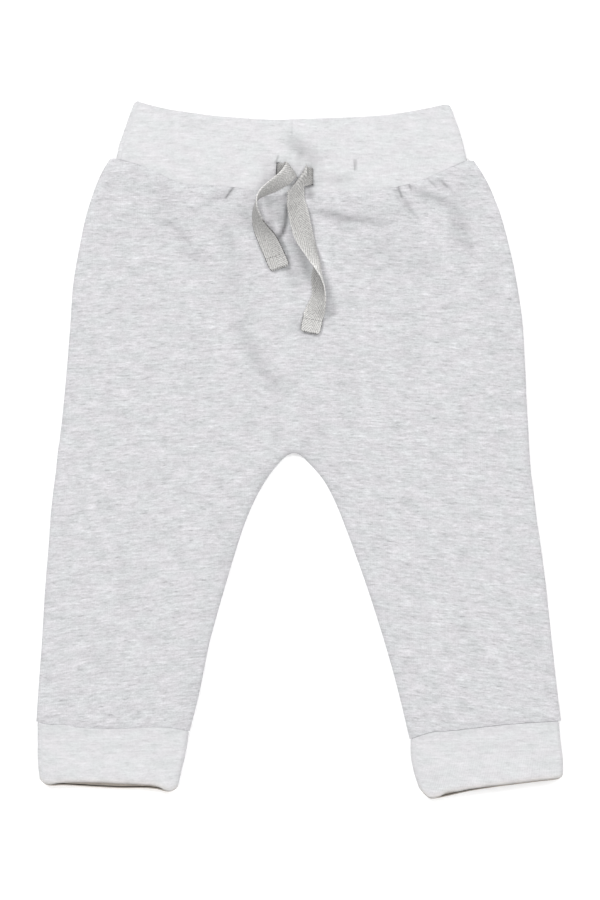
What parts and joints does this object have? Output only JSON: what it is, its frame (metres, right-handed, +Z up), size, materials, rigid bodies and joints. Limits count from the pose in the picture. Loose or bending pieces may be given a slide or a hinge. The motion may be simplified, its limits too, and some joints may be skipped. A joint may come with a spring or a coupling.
{
  "type": "jogger sweatpants",
  "caption": "Small child's jogger sweatpants laid flat: tapered legs with folded cuffs, a folded elastic waistband and a flat tape drawstring hanging loose from its buttonholes.",
  "frame": {"origin": "middle of the underside's box: X and Y are the middle of the whole, Z = 0 is what it lies on", "axes": "+Y towards the waist, +X across to the viewer's right with the front uppermost, +Z up out of the front"},
  "size_m": [0.3112, 0.4117, 0.0206],
  "materials": {
    "body_knit": "soft matt sweatshirt knit, light grey melange with short darker and lighter streaks along its rows",
    "trim_knit": "soft matt stretch knit, paler and more even than the body",
    "tape": "matt woven herringbone tape, warm grey"
  },
  "bodies": {
    "root": {"back": "body_knit", "front": "body_knit", "waistband": "trim_knit", "cuff_left": "trim_knit", "cuff_right": "trim_knit", "drawstring_left": "tape", "drawstring_right": "tape"}
  },
  "joints": []
}
